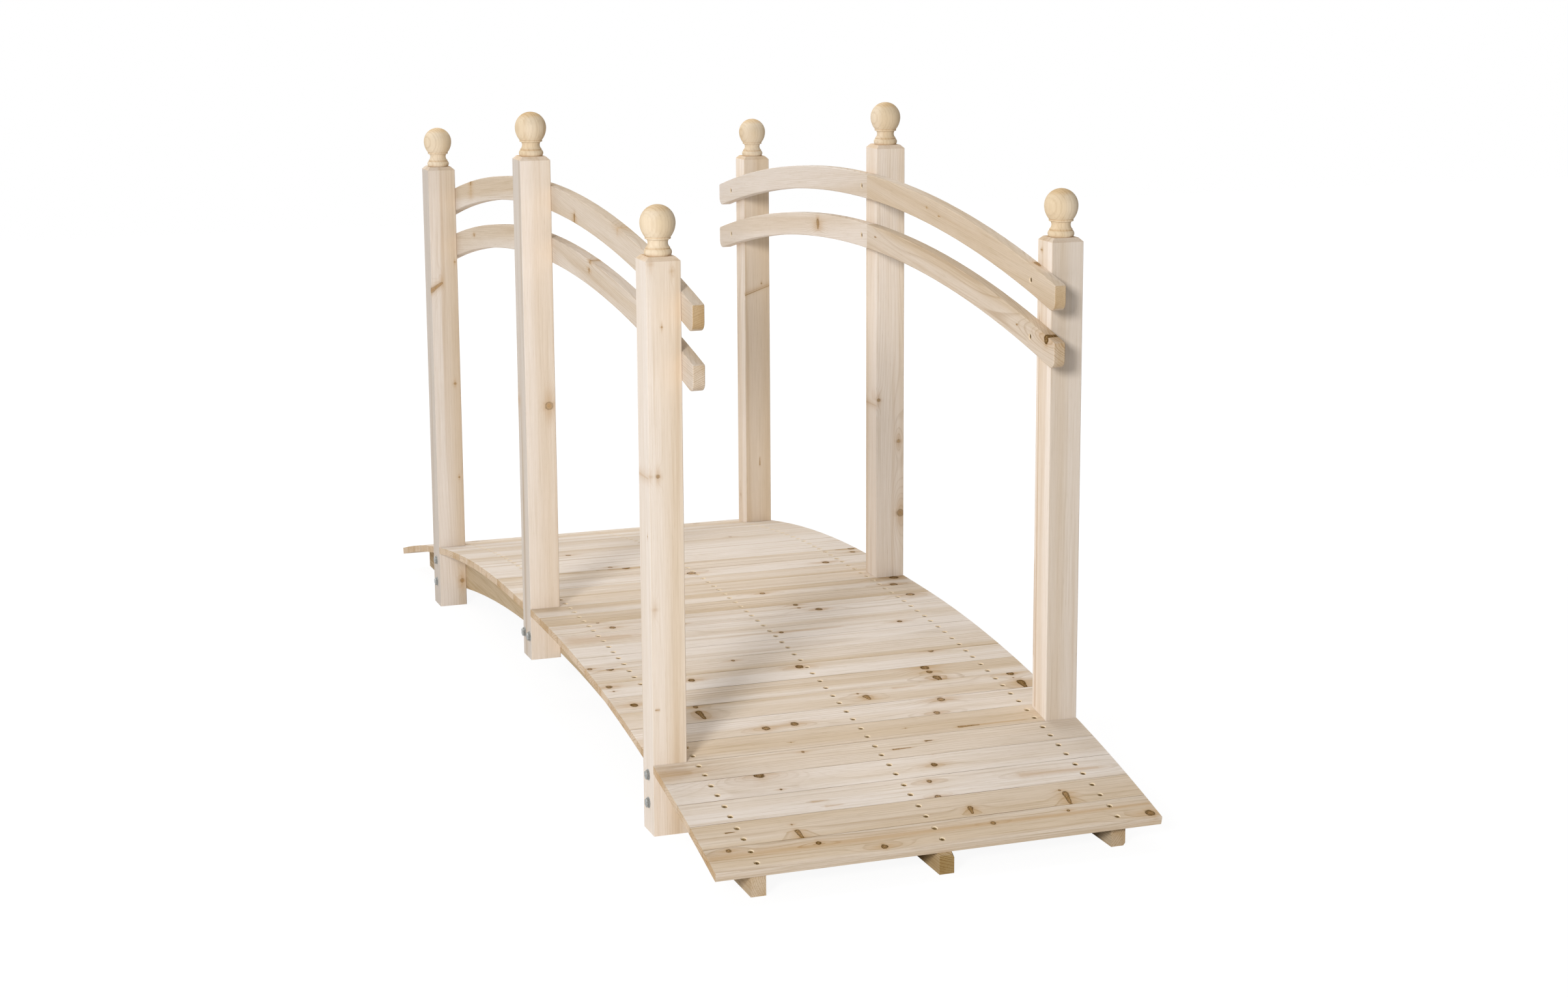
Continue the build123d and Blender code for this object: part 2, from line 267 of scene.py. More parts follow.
def make_fir_group():
    """Fir as solid wood: growth rings round a pith, fibres and streaks along the grain, and knots.

    Grain is the place in the timber, with X along the fibres."""
    build, given, out = new_group(
        "Fir",
        [
            ("Grain", VECTOR), ("Seed", FLOAT), ("Pith", VECTOR, (0, 0.03, -0.08)),
            ("Ring width", FLOAT, 0.003), ("Rings", FLOAT, 0.5), ("Warmth", FLOAT, 0.5), ("Tone", FLOAT, 1.0),
            ("Wander", FLOAT, 0.016), ("Fine", FLOAT, 1.0), ("Knot depth", FLOAT, 1.0),
            ("Marks", VECTOR, (0, 0, 0)), ("Bump", FLOAT), ("End", FLOAT), ("End tint", COLOUR, END_TINT),
            ("Tint", COLOUR, WHITE),
        ],
        [("Colour", COLOUR), ("Roughness", FLOAT), ("Height", FLOAT)],
    )
    place = build.vector_math("ADD", given["Grain"], build.scaled(SEED_SHIFT, given["Seed"]))
    core, rim, halo = build.parts(given["Marks"])

    def stretched(along, across, detail):
        return build.noise(build.vector_math("MULTIPLY", place, (along, across, across)), detail=detail)

    def pattern(along, across, detail, levels):
        return build.step(stretched(along, across, detail)[0], *levels)

    drift = build.vector_math("SUBTRACT", stretched(*DRIFT)[1], (0.5, 0.5, 0.5))
    wander = build.parts(build.scaled(drift, given["Wander"]))
    timber = build.parts(build.vector_math("SUBTRACT", given["Grain"], given["Pith"]))
    across = build.math("POWER", build.math("ADD", wander[0], timber[1]), 2.0)
    depth = build.math("POWER", build.math("ADD", wander[1], timber[2]), 2.0)
    radius = build.math("SUBTRACT", build.math("SQRT", build.math("ADD", across, depth)), given["Bump"])
    uneven = build.noise(build.vector(radius, given["Seed"], 0.0), UNEVEN_SCALE, 1.0)[0]
    years = build.math("DIVIDE", radius, given["Ring width"])
    season = build.math("FRACT", build.math("MULTIPLY_ADD", uneven, UNEVEN_YEARS, years))
    late = build.math("MULTIPLY", build.step(season, *LATE_RISE), build.step(season, *LATE_STOP))
    late = build.math("MULTIPLY", late, pattern(*PATCH))
    at_end = build.math("MULTIPLY_ADD", given["End"], RINGS_AT_END, 1.0)
    at_knot = build.math("MULTIPLY_ADD", halo, RINGS_AT_KNOT, 1.0)
    strength = build.math("MULTIPLY", build.math("MULTIPLY", given["Rings"], at_end), at_knot)
    late = build.math("MULTIPLY", late, strength, clamp=True)

    fibre = stretched(*FIBRE)[0]
    heart = build.math("ADD", pattern(*BAND), given["Warmth"], clamp=True)
    colour = build.mix(heart, SAPWOOD, HEARTWOOD)
    colour = build.mix(pattern(*STREAK), colour, STREAK_WOOD)
    colour = build.mix(late, colour, LATE_WOOD)
    hairs = build.math("MULTIPLY", pattern(*HAIR), HAIR_TONE)
    fine = build.math("MULTIPLY_ADD", build.math("SUBTRACT", fibre, 0.5), FIBRE_TONE, hairs)
    fine = build.math("MULTIPLY_ADD", pattern(*PORE), PORE_TONE, fine)
    fine = build.math("MULTIPLY", fine, given["Fine"])
    levels = [build.math("MULTIPLY", build.math("MULTIPLY_ADD", fine, share, 1.0), given["Tone"])
              for share in FINE_SHARES]
    colour = build.mix(1.0, colour, build.vector(*levels), "MULTIPLY")
    colour = build.mix(1.0, colour, given["Tint"], "MULTIPLY")
    colour = build.mix(given["End"], colour, given["End tint"], "MULTIPLY")
    colour = build.mix(build.math("MULTIPLY", halo, HALO_DEPTH), colour, KNOT_HALO)
    colour = build.mix(build.math("MULTIPLY", core, given["Knot depth"]), colour, KNOT_CORE)
    rim = build.math("MULTIPLY", rim, build.math("MULTIPLY", given["Knot depth"], RIM_DEPTH))
    build.feed(out["Colour"], build.mix(rim, colour, KNOT_RIM))

    dull = build.math("MULTIPLY_ADD", fibre, DULL_FIBRE, DULL)
    build.feed(out["Roughness"], build.math("MULTIPLY_ADD", core, DULL_KNOT, dull))
    height = build.math("MULTIPLY_ADD", late, LATE_HEIGHT, build.math("MULTIPLY", fibre, FIBRE_HEIGHT))
    build.feed(out["Height"], build.math("MULTIPLY_ADD", core, KNOT_HEIGHT, height))
    return build.tree


KNOT = make_knot_group()
FIR = make_fir_group()


def new_material(name):
    material = bpy.data.materials.new(name)
    material.use_nodes = True
    material.node_tree.nodes.clear()
    return material, Tree(material.node_tree)


def finish(build, height, relief, inputs):
    """Ends a material in a shader with these inputs and with relief that follows a height."""
    strength, deep = relief
    bump = build.node("ShaderNodeBump", {"Strength": strength, "Distance": deep, "Height": height})
    shader = build.node("ShaderNodeBsdfPrincipled", {**inputs, "Normal": bump.outputs[0]})
    build.node("ShaderNodeOutputMaterial", (shader.outputs[0],))


def finish_wood(build, fir, colour):
    """Bare planed wood in this colour, with the roughness and height of a Fir group."""
    finish(build, fir["Height"], WOOD_RELIEF, {
        "Base Color": colour, "Roughness": fir["Roughness"], "Specular IOR Level": 0.0, "IOR": 1.45,
    })


def end_mask(build, facing):
    """1 where a face cuts the fibres across, from the part of its normal along them."""
    return build.step(build.math("ABSOLUTE", facing), *END_FACING)


def gathered_knots(build, grain, knots):
    """Marks and Bump of several knots, each given as Centre, Axis, Radius and Soft."""
    marks, swerve = None, None
    for centre, axis, radius, soft in knots:
        knot = build.group(KNOT, {
            "Grain": grain, "Centre": centre, "Axis": axis, "Radius": radius, "Soft": soft,
        })
        marks = knot["Marks"] if marks is None else build.vector_math("MAXIMUM", marks, knot["Marks"])
        swerve = knot["Bump"] if swerve is None else build.math("ADD", swerve, knot["Bump"])
    return marks, swerve


# Deck

def deck_place(x, z):
    """Arc length from the crown and depth under the walking surface, of points in a side view."""
    reach = np.abs(x)
    turn = np.arctan2(reach - FLANK_CENTRE_X, z - FLANK_CENTRE_Z)
    flat = np.arctan2(reach, z - CROWN_CENTRE_Z)
    on_flank = turn > CROWN_TURN
    arc = np.where(on_flank, CROWN_HALF_ARC + (turn - CROWN_TURN) * FLANK_RADIUS, flat * CROWN_RADIUS)
    from_flank = FLANK_RADIUS - np.hypot(reach - FLANK_CENTRE_X, z - FLANK_CENTRE_Z)
    from_crown = CROWN_RADIUS - np.hypot(reach, z - CROWN_CENTRE_Z)
    return np.sign(x) * arc, np.where(on_flank, from_flank, from_crown)


# Knots of each board seen from above, in millimetres: across the bridge, towards the near end from the
# board's middle, radius, and for a branch or streak along the face its half-length along those two
# directions. A radius below 0 is a soft stain of that size, without a hard knot in it.
BOARD_KNOTS = {
    16: [(-301, -21, 4), (-173, -13, 4), (-86, 15, 5), (87, -8, 4), (207, -15, 2.5), (322, 16, 7),
         (0, -8, -4, 330, 0)],
    15: [(-191, 22, 3, 1, 10), (-194, -6, 1.5), (69, 14, 3, -1, 7), (220, 14, 3.5, -2, 14), (217, -9, 2),
         (-285, -5, 1, 6, 0)],
    14: [(36, 29, 5), (39.5, -14.6, 4), (-120, 18, -1.5, 10, 0), (-137, 2, -1.5, 8, 0), (240, 0, -4, 60, 2)],
    13: [(-195.5, -27, 8), (-178, 19, 2), (65, 1, 5), (74.5, -31, 2), (-195, -26, -13)],
    12: [(-110, -20, 2.5), (37, 3.4, 1.2, 14, 0), (85, -11, 1.3, 5, 0), (-310, 2, -9, 20, 0)],
    11: [(-117, 6.5, 1), (66, 2.4, 1), (163, 17, 1.8, 16, 0), (210, 17, -1.6, 45, 0)],
    10: [(-138, 13, 6), (-92, 9, 6), (132, 24, 5), (156, -19, 6), (-115, 11, -2.5, 22, 2)],
    9: [(-217, 6, 4, 1, 12), (-217, -25, 4), (49, 7, 4, 1, 5), (39, -11, 2), (304, 18, 5, 0, 10),
        (301, -25, 6), (118, -17, -1.5, 18, 0), (299, -9, 1.5)],
    8: [(-304, 4, 6), (183, 24, 5, 1, 5), (179, -4, 5), (179, -22, 7)],
    7: [(-321, -15, 5), (-191, -8, 5.5), (-11, -18, 6.5), (215, -28, 5), (-319, 4, 2)],
    6: [(-299, -28, 6), (-103, -12, 3)],
    5: [(-329, 22, 4)],
    4: [(15, -1, 4), (221, 1.5, 4.5), (68, -1, -2, 50, 0)],
    3: [(-270, 0, -11, 45, 0)],
    2: [(-237, 7, 5.5), (-253, -27, 3), (89, -4, 3), (90, -23, 4.5), (118, 14, 6), (297, -22, 7),
        (-119, 24, -3)],
    0: [(62, 5, 5), (313, -20, 8), (295, 25, 7)],
    -3: [(-7, 0, 8), (242, 7, 6.5)],
    -4: [(-102, -25, 7), (317, 4, 5), (324, -24, 6)],
    -5: [(-126, 16, 4)],
    -7: [(-162, -18, 5)],
    -8: [(168, -18, 3)],
    -13: [(-120, 8, 5)],
    -14: [(210, -12, 6), (-60, 10, 3)],
    -15: [(-230, 5, 5, 1, 9), (35, 20, 2)],
    -16: [(90, -9, 6), (-140, 18, 4), (-20, 4, -3, 60, 0)],
    -17: [(-30, 14, 5), (245, -6, 6)],
    -18: [(180, 10, 6), (-205, -12, 5), (60, -2, -4, 200, 0)],
}
KNOT_PLACES = max(len(knots) for knots in BOARD_KNOTS.values())
NO_KNOT = (9000, 0, 1)
KNOT_THROUGH = (0.0, 2 * MM, 20 * MM)

# How much warm heartwood each board shows: all of it at 1, a few bands at 0, none much below. The low values
# on the far boards also paint in the whitening that a grazing sheen gives them there: a painted sheen.
BOARD_WARMTH = {
    16: 1.0, 15: 0.8, 14: 0.2, 13: 0.45, 12: 0.9, 11: 0.9, 10: 0.35, 9: 0.6, 8: 0.55, 7: 0.05, 6: 0.75,
    5: 0.2, 4: 0.1, 3: 0.0, 2: 0.4, 1: 1.0, 0: 0.55, -1: 0.3, -2: 0.75, -3: 0.0, -4: 0.8, -5: -0.2, -6: -0.05,
    -7: -0.2, -8: 0.5, -9: -0.1, -10: 0.45, -11: 0.3, -12: 0.1, -13: 0.4, -14: 0.3, -15: 0.1, -16: 0.2,
    -17: 0.5, -18: 0.3,
}


BOARD_TONE = 1.055
BOARD_RING_WIDTH = 4.2 * MM
BOARDS_EACH_SIDE = 17

# What chance gives a board: its pith to one side of it and below it, and its rings, stronger where it is warm
PITH_SIDE, PITH_BELOW = (-0.05, 0.05), (0.03, 0.14)
DRAWN_RINGS, WARM_RINGS = (0.08, 0.3), 0.35

# Joints darkened with painted shade, partly grime: how far from a board's middle it starts, how soon it is
# full, and how patchy it is
JOINT_FROM = 29.05 * MM
JOINT_FADE = 0.25 * MM
JOINT_SHADE = shade(112, 78, 40)
JOINT_PATCH_SCALE = 6.0
JOINT_PATCHES = (0.35, 0.65, 0.2, 0.85)


def board_coordinates(mesh):
    """Gives each point its place in its own board, the board's number and warmth, and the board's knots."""
    points = np.empty(len(mesh.vertices) * 3)
    mesh.vertices.foreach_get("co", points)
    x, y, z = points.reshape(-1, 3).T
    arc, depth = deck_place(x, z)
    board = np.floor((arc - POST_SIDE / 2) / BOARD_PITCH).astype(int)
    middle = POST_SIDE / 2 + (board + 0.5) * BOARD_PITCH

    def store(name, kind, values):
        field = "vector" if kind == "FLOAT_VECTOR" else "value"
        mesh.attributes.new(name, kind, "POINT").data.foreach_set(field, np.ravel(values).astype(np.float32))

    store("grain", "FLOAT_VECTOR", np.column_stack([y, arc - middle, depth]))
    store("board", "FLOAT", board)
    store("warmth", "FLOAT", [BOARD_WARMTH[number] for number in board])
    for place in range(KNOT_PLACES):
        centres, axes = {}, {}
        for number in BOARD_WARMTH:
            knots = BOARD_KNOTS.get(number, [])
            across, near, radius, *axis = knots[place] if place < len(knots) else NO_KNOT
            centres[number] = (across * MM, near * MM, radius * MM)
            axes[number] = (axis[0] * MM, axis[1] * MM, 0.0) if axis else KNOT_THROUGH
        store(f"knot_{place}", "FLOAT_VECTOR", [centres[number] for number in board])
        store(f"branch_{place}", "FLOAT_VECTOR", [axes[number] for number in board])


def joint_shade_and_grime(build, grain, number):
    """1 where the edge of a board is darkened with painted shade, partly grime, other than at the open ends
    of the deck.
    """
    across, along, _ = build.parts(grain)
    beside = build.math("ADD", number, 1.0)
    outermost = build.math("GREATER_THAN", build.math("ABSOLUTE", beside), BOARDS_EACH_SIDE - 0.5)
    outer_side = build.math("GREATER_THAN", build.math("MULTIPLY", along, beside), 0.0)
    inner = build.math("SUBTRACT", 1.0, build.math("MULTIPLY", outermost, outer_side))
    joint = build.step(build.math("ABSOLUTE", along), JOINT_FROM, JOINT_FROM + JOINT_FADE)
    spots = build.vector(build.math("MULTIPLY", across, JOINT_PATCH_SCALE), number, 0.0)
    patchy = build.step(build.noise(spots, detail=3.0)[0], *JOINT_PATCHES)
    return build.math("MULTIPLY", build.math("MULTIPLY", joint, inner), patchy)


def make_board_wood():
    """Wood of the deck. Chance gives each board its own pith and strength of rings."""
    material, build = new_material("board_wood")

    def stored(name, output="Vector"):
        return build.node("ShaderNodeAttribute", attribute_name=name).outputs[output]

    grain, number, warmth = stored("grain"), stored("board", "Fac"), stored("warmth", "Fac")
    knots = []
    for place in range(KNOT_PLACES):
        across, near, size = build.parts(stored(f"knot_{place}"))
        soft = build.math("LESS_THAN", size, 0.0)
        centre = build.vector(across, near, 0.0)
        knots.append((centre, stored(f"branch_{place}"), build.math("ABSOLUTE", size), soft))
    marks, swerve = gathered_knots(build, grain, knots)

    chance = build.node("ShaderNodeTexWhiteNoise", {"W": number}, noise_dimensions="1D").outputs
    draw = build.parts(chance["Color"])
    side, below = build.step(draw[0], 0.0, 1.0, *PITH_SIDE), build.step(draw[1], 0.0, 1.0, *PITH_BELOW)
    rings = build.math("MULTIPLY_ADD", warmth, WARM_RINGS, build.step(draw[2], 0.0, 1.0, *DRAWN_RINGS))
    normal = build.parts(build.node("ShaderNodeTexCoord").outputs["Normal"])
    fir = build.group(FIR, {
        "Grain": grain, "Seed": number, "Pith": build.vector(0.0, side, below),
        "Ring width": BOARD_RING_WIDTH, "Rings": rings, "Warmth": warmth, "Tone": BOARD_TONE,
        "Marks": marks, "Bump": swerve, "End": end_mask(build, normal[1]),
    })
    # The board edges at the joints get painted shade, partly grime
    finish_wood(build, fir, build.mix(joint_shade_and_grime(build, grain, number), fir["Colour"], JOINT_SHADE))
    return material


def placed_piece(name, data):
    """An object in the scene, for a mesh, a light or a camera."""
    piece = bpy.data.objects.new(name, data)
    bpy.context.scene.collection.objects.link(piece)
    return piece


def mesh_of(name, shape):
    """The mesh of a shape that is ready."""
    mesh = bpy.data.meshes.new(name)
    shape.to_mesh(mesh)
    shape.free()
    return mesh


def turned(name, sections, sides, start=0.0):
    """A solid from (radius, height) pairs, lowest first. A radius may be a list that repeats round it."""
    shape = bmesh.new()
    rings = []
    for radius, height in sections:
        radii = radius if isinstance(radius, list) else [radius]
        angles = [start + 2 * pi * i / sides for i in range(sides)]
        rings.append([shape.verts.new((r * cos(a), r * sin(a), height))
                      for r, a in zip(radii * sides, angles)])
    for low, high in zip(rings, rings[1:]):
        for i in range(sides):
            j = (i + 1) % sides
            shape.faces.new((low[i], low[j], high[j], high[i]))
    shape.faces.new(rings[0][::-1])
    shape.faces.new(rings[-1])
    return placed_piece(name, mesh_of(name, shape))


HEAD_RADIUS = 3.9 * MM
HEAD_SINK = 1.45 * MM
SINK_RADIUS = 4.7 * MM
SHANK_SHARE = 0.5


def make_screw_head():
    """Countersunk head with a cross recess, its rim at height 0."""
    cross = [1.0, 1.0, 0.4]
    return turned("screw_head", [
        (SHANK_SHARE * HEAD_RADIUS, -2.0 * MM),
        (0.97 * HEAD_RADIUS, -0.25 * MM),
        (0.93 * HEAD_RADIUS, 0.0),
        ([0.52 * HEAD_RADIUS * share for share in cross], 0.05 * MM),
        ([0.28 * HEAD_RADIUS * share for share in cross], -1.3 * MM),
    ], 12, radians(-15))


def make_countersink():
    """The hole that a screw leaves in the wood, from just above the face down to round its head."""
    return turned("countersink", [
        (SHANK_SHARE * HEAD_RADIUS, -(HEAD_SINK + 1.9 * MM)), (HEAD_RADIUS, -HEAD_SINK),
        (SINK_RADIUS, 0.0), (SINK_RADIUS, 2 * MM),
    ], 20)


def place_fixings(build, given, out, points, square, spin):
    """Puts the fixing on each point, turned square to its face and spun about its own axis."""
    fixing = build.node("GeometryNodeObjectInfo", (given["Fixing"],)).outputs["Geometry"]
    on_points = {"Points": points, "Instance": fixing, "Rotation": square}
    placed = build.node("GeometryNodeInstanceOnPoints", on_points).outputs[0]
    spin = build.node("FunctionNodeEulerToRotation", (build.vector(0.0, 0.0, spin),)).outputs[0]
    spun = build.node("GeometryNodeRotateInstances", {"Instances": placed, "Rotation": spin}).outputs[0]
    real = build.node("GeometryNodeRealizeInstances", (spun,)).outputs[0]
    dressed = build.node("GeometryNodeSetMaterial", {"Geometry": real, "Material": given["Material"]})
    build.feed(out[0], dressed.outputs[0])


def make_fixings_tree():
    """Fixings at the points of a mesh, each set square to the face that its facing names."""
    build, given, out = new_group(
        "Fixings",
        [
            ("Geometry", GEOMETRY), ("Fixing", OBJECT), ("Sink", FLOAT, 0.0), ("Loose turn", FLOAT, 0.0),
            ("Seed", INTEGER, 5), ("Material", MATERIAL),
        ],
        [("Geometry", GEOMETRY)],
        "GeometryNodeTree",
    )
    facing = build.node("GeometryNodeInputNamedAttribute", {"Name": "facing"}, data_type="FLOAT_VECTOR")
    facing = facing.outputs[0]
    inward = build.scaled(facing, build.math("MULTIPLY", given["Sink"], -1.0))
    sunk = build.node("GeometryNodeSetPosition", {"Geometry": given["Geometry"], "Offset": inward})
    square = build.node("FunctionNodeAlignRotationToVector", {"Vector": facing}, axis="Z")
    chance = build.node("FunctionNodeRandomValue", {3: 1.0, "Seed": given["Seed"]}, data_type="FLOAT")
    spin = build.math("MULTIPLY", chance.outputs[1], given["Loose turn"])
    place_fixings(build, given, out, sunk.outputs[0], square.outputs[0], spin)
    return build.tree


def fixing_points(places):
    """A mesh of points with the facing of each, from (place, facing) pairs."""
    mesh = bpy.data.meshes.new("places")
    mesh.from_pydata([place for place, facing in places], [], [])
    facings = mesh.attributes.new("facing", "FLOAT_VECTOR", "POINT")
    facings.data.foreach_set("vector", np.ravel([facing for place, facing in places]).astype(np.float32))
    return mesh


SCREWS_PER_BOARD = 6.0
SCREW_ROW_Y = 271.5 * MM
SCREW_PAIR_HALF = 13.87 * MM
SCREW_SCATTER = 0.7 * MM
SCATTER_SEED, SPIN_SEED = 7, 3


def arch_place(build, arc):
    """X, Z and tilt of the walking surface at this arc length from the crown."""
    side, reach = build.math("SIGN", arc), build.math("ABSOLUTE", arc)
    on_crown = build.math("LESS_THAN", reach, CROWN_HALF_ARC)

    def choose(on_the_crown, on_the_flank):
        rise = build.math("SUBTRACT", on_the_crown, on_the_flank)
        return build.math("MULTIPLY_ADD", on_crown, rise, on_the_flank)

    crown_tilt = build.math("DIVIDE", reach, CROWN_RADIUS)
    past_crown = build.math("SUBTRACT", reach, CROWN_HALF_ARC)
    flank_tilt = build.math("ADD", build.math("DIVIDE", past_crown, FLANK_RADIUS), CROWN_TURN)
    tilt = choose(crown_tilt, flank_tilt)
    radius = choose(CROWN_RADIUS, FLANK_RADIUS)
    from_middle = build.math("MULTIPLY_ADD", radius, build.math("SINE", tilt), choose(0.0, FLANK_CENTRE_X))
    centre_z = choose(CROWN_CENTRE_Z, FLANK_CENTRE_Z)
    z = build.math("MULTIPLY_ADD", radius, build.math("COSINE", tilt), centre_z)
    return build.math("MULTIPLY", side, from_middle), z, build.math("MULTIPLY", tilt, side)


def make_deck_screw_tree():
    """Fixings through the boards: two on each stringer in every board, square to the board."""
    build, given, out = new_group(
        "Deck screws",
        [
            ("Geometry", GEOMETRY), ("Fixing", OBJECT), ("First board", INTEGER), ("Boards", INTEGER, 1),
            ("Row distance", FLOAT, SCREW_ROW_Y), ("Pair half", FLOAT, SCREW_PAIR_HALF),
            ("Sink", FLOAT, 0.0), ("Material", MATERIAL),
        ],
        [("Geometry", GEOMETRY)],
        "GeometryNodeTree",
    )
    index = build.node("GeometryNodeInputIndex").outputs[0]
    count = build.math("MULTIPLY", given["Boards"], SCREWS_PER_BOARD)
    whole_boards = build.math("FLOOR", build.math("DIVIDE", index, SCREWS_PER_BOARD))
    board = build.math("ADD", whole_boards, given["First board"])
    in_board = build.math("MODULO", index, SCREWS_PER_BOARD)
    row = build.math("SUBTRACT", build.math("FLOOR", build.math("DIVIDE", in_board, 2.0)), 1.0)
    pair = build.math("MULTIPLY_ADD", build.math("MODULO", index, 2.0), 2.0, -1.0)
    arc = build.math("MULTIPLY_ADD", build.math("ADD", board, 0.5), BOARD_PITCH, POST_SIDE / 2)
    x, z, tilt = arch_place(build, arc)

    ranges = {"Min": (-1, -1, -1), "Max": (1, 1, 1), "Seed": SCATTER_SEED}
    chance = build.node("FunctionNodeRandomValue", ranges, data_type="FLOAT_VECTOR").outputs[0]
    scatter = build.parts(build.scaled(chance, SCREW_SCATTER))
    along = build.math("MULTIPLY_ADD", pair, given["Pair half"], scatter[0])
    sine, cosine = build.math("SINE", tilt), build.math("COSINE", tilt)
    forward, sideways = build.math("MULTIPLY", along, cosine), build.math("MULTIPLY", given["Sink"], sine)
    x = build.math("ADD", x, build.math("SUBTRACT", forward, sideways))
    downhill, down = build.math("MULTIPLY", along, sine), build.math("MULTIPLY", given["Sink"], cosine)
    z = build.math("SUBTRACT", z, build.math("ADD", downhill, down))
    y = build.math("MULTIPLY_ADD", row, given["Row distance"], scatter[1])
    points = build.node("GeometryNodePoints", {"Count": count, "Position": build.vector(x, y, z)})
    square = build.node("FunctionNodeEulerToRotation", (build.vector(0.0, tilt, 0.0),))
    spin = build.node("FunctionNodeRandomValue", {3: pi, "Seed": SPIN_SEED}, data_type="FLOAT").outputs[1]
    place_fixings(build, given, out, points.outputs[0], square.outputs[0], spin)
    return build.tree


def settled(piece):
    """Turns what a piece's modifiers make of it into its plain mesh."""
    seen = piece.evaluated_get(bpy.context.evaluated_depsgraph_get())
    made = bpy.data.meshes.new_from_object(seen)
    made.name = piece.name
    piece.modifiers.clear()
    piece.data = made
    return piece


def grown(name, tree, inputs, base=None):
    """The piece that a Geometry Nodes tree makes with these inputs."""
    piece = placed_piece(name, base or bpy.data.meshes.new(name))
    modifier = piece.modifiers.new("grow", "NODES")
    modifier.node_group = tree
    sockets = {s.name: s.identifier for s in tree.interface.items_tree if s.in_out == "INPUT"}
    for key, value in inputs.items():
        modifier[sockets[key]] = value
    return settled(piece)


def plain_copy(node):
    """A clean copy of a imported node's mesh, with its loose triangles joined into flat faces."""
    shape = bmesh.new()
    shape.from_mesh(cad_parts[node].data)
    bmesh.ops.remove_doubles(shape, verts=shape.verts, dist=MM / 1000)
    bmesh.ops.dissolve_limit(shape, angle_limit=radians(0.2), verts=shape.verts, edges=shape.edges)
    return mesh_of(node, shape)


def drilled(node, cutter, material):
    """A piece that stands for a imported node, with the cutter's holes in it. The cutter goes."""
    mesh = plain_copy(node)
    mesh.materials.clear()
    mesh.materials.append(material)
    piece = placed_piece("drilled_" + node, mesh)
    drill = piece.modifiers.new("drill", "BOOLEAN")
    drill.operation = "DIFFERENCE"
    drill.solver = "EXACT"
    drill.material_mode = "TRANSFER"
    drill.object = cutter
    settled(piece)
    bpy.data.objects.remove(cutter)
    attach(piece, "root")
    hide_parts(node)
    return piece


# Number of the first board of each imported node, and how many boards it has. They count towards the near
# end, and board -1 is the one at the middle posts.
DECK_NODES = {
    "boards_near_ramp": (12, 5),
    "board_at_near_posts": (11, 1),
    "boards_near_span": (0, 11),
    "board_at_middle_posts": (-1, 1),
    "boards_far_span": (-12, 11),
    "board_at_far_posts": (-13, 1),
    "boards_far_ramp": (-18, 5),
}


def make_metal(name, plating, stain, roughness):
    """Plated steel with a faintly uneven plating, stained in places."""
    material, build = new_material(name)
    place = build.node("ShaderNodeTexCoord").outputs["Object"]
    blotch = build.noise(place, 900.0, 3.0)[0]
    tint = build.mix(build.step(blotch, 0.35, 0.7), plating, stain)
    rough = build.math("MULTIPLY_ADD", blotch, 0.25, roughness)
    finish(build, blotch, METAL_RELIEF, {"Base Color": tint, "Roughness": rough, "Metallic": 1.0})
    return material


def make_hole_wood():
    """Torn fibres on the wall of a screw hole."""
    material, build = new_material("hole_wood")
    place = build.node("ShaderNodeTexCoord").outputs["Object"]
    torn = build.noise(place, 1400.0)[0]
    tint = build.mix(build.step(torn, 0.3, 0.7), shade(226, 204, 172), shade(242, 226, 200))
    finish(build, torn, TORN_RELIEF, {"Base Color": tint, "Roughness": 0.85, "Specular IOR Level": 0.2})
    return material


YELLOW_ZINC = make_metal("yellow_zinc", shade(128, 106, 70), shade(84, 66, 38), 0.42)
WHITE_ZINC = make_metal("white_zinc", shade(176, 178, 176), shade(128, 130, 128), 0.3)
HOLE_WOOD = make_hole_wood()


def make_deck(countersink, head):
    board_wood = make_board_wood()
    tree = make_deck_screw_tree()
    for node, (first, count) in DECK_NODES.items():
        row = {"First board": first, "Boards": count}
        cutter = grown("cutter", tree, {**row, "Fixing": countersink, "Material": HOLE_WOOD})
        boards = drilled(node, cutter, board_wood)
        board_coordinates(boards.data)
        sunk = {"Fixing": head, "Sink": HEAD_SINK, "Material": YELLOW_ZINC}
        screws = grown("screws_" + node, tree, {**row, **sunk})
        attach(screws, "root")


# Posts, rails, stringers and finials

UPRIGHT = (0.0, radians(90), 0.0)

# A post's left face, which gets painted light and shade of its own: how deep under it that paint starts and
# is full, and the painted shade darkening the corner beside it, which faces the key light
LEFT_FACE_DEPTHS = (0.8 * MM, 0.2 * MM)
CORNER = (0.707, -0.707, 0.0)
CORNER_EDGE, CORNER_PAINTED_SHADE = (0.8, 0.95), 0.91


